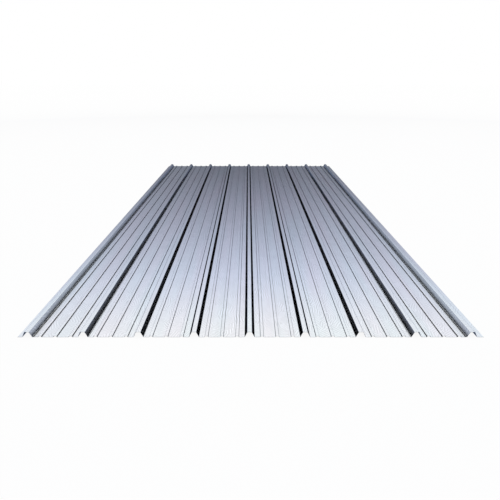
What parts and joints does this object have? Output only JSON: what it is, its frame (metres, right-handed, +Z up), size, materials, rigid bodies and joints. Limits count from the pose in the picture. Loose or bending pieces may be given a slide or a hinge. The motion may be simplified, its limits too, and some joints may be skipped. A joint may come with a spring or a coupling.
{
  "type": "corrugated metal sheet",
  "caption": "Roll-formed zinc-coated steel sheet with narrow flat-topped ribs and low beads in its flat pans, for roofing and cladding.",
  "frame": {"origin": "on the floor, below the middle of the sheet's overall width and length", "axes": "+X across the ribs towards the wider underlap lip, +Y along the ribs, +Z up from the pans to the rib crowns"},
  "size_m": [1.153, 2.4, 0.0145],
  "materials": {
    "zinc_coated_steel": "bright bare zinc coating, smooth and semi-gloss, with a fine spangle"
  },
  "bodies": {
    "root": {"ribbed_sheet": "zinc_coated_steel"}
  },
  "joints": []
}
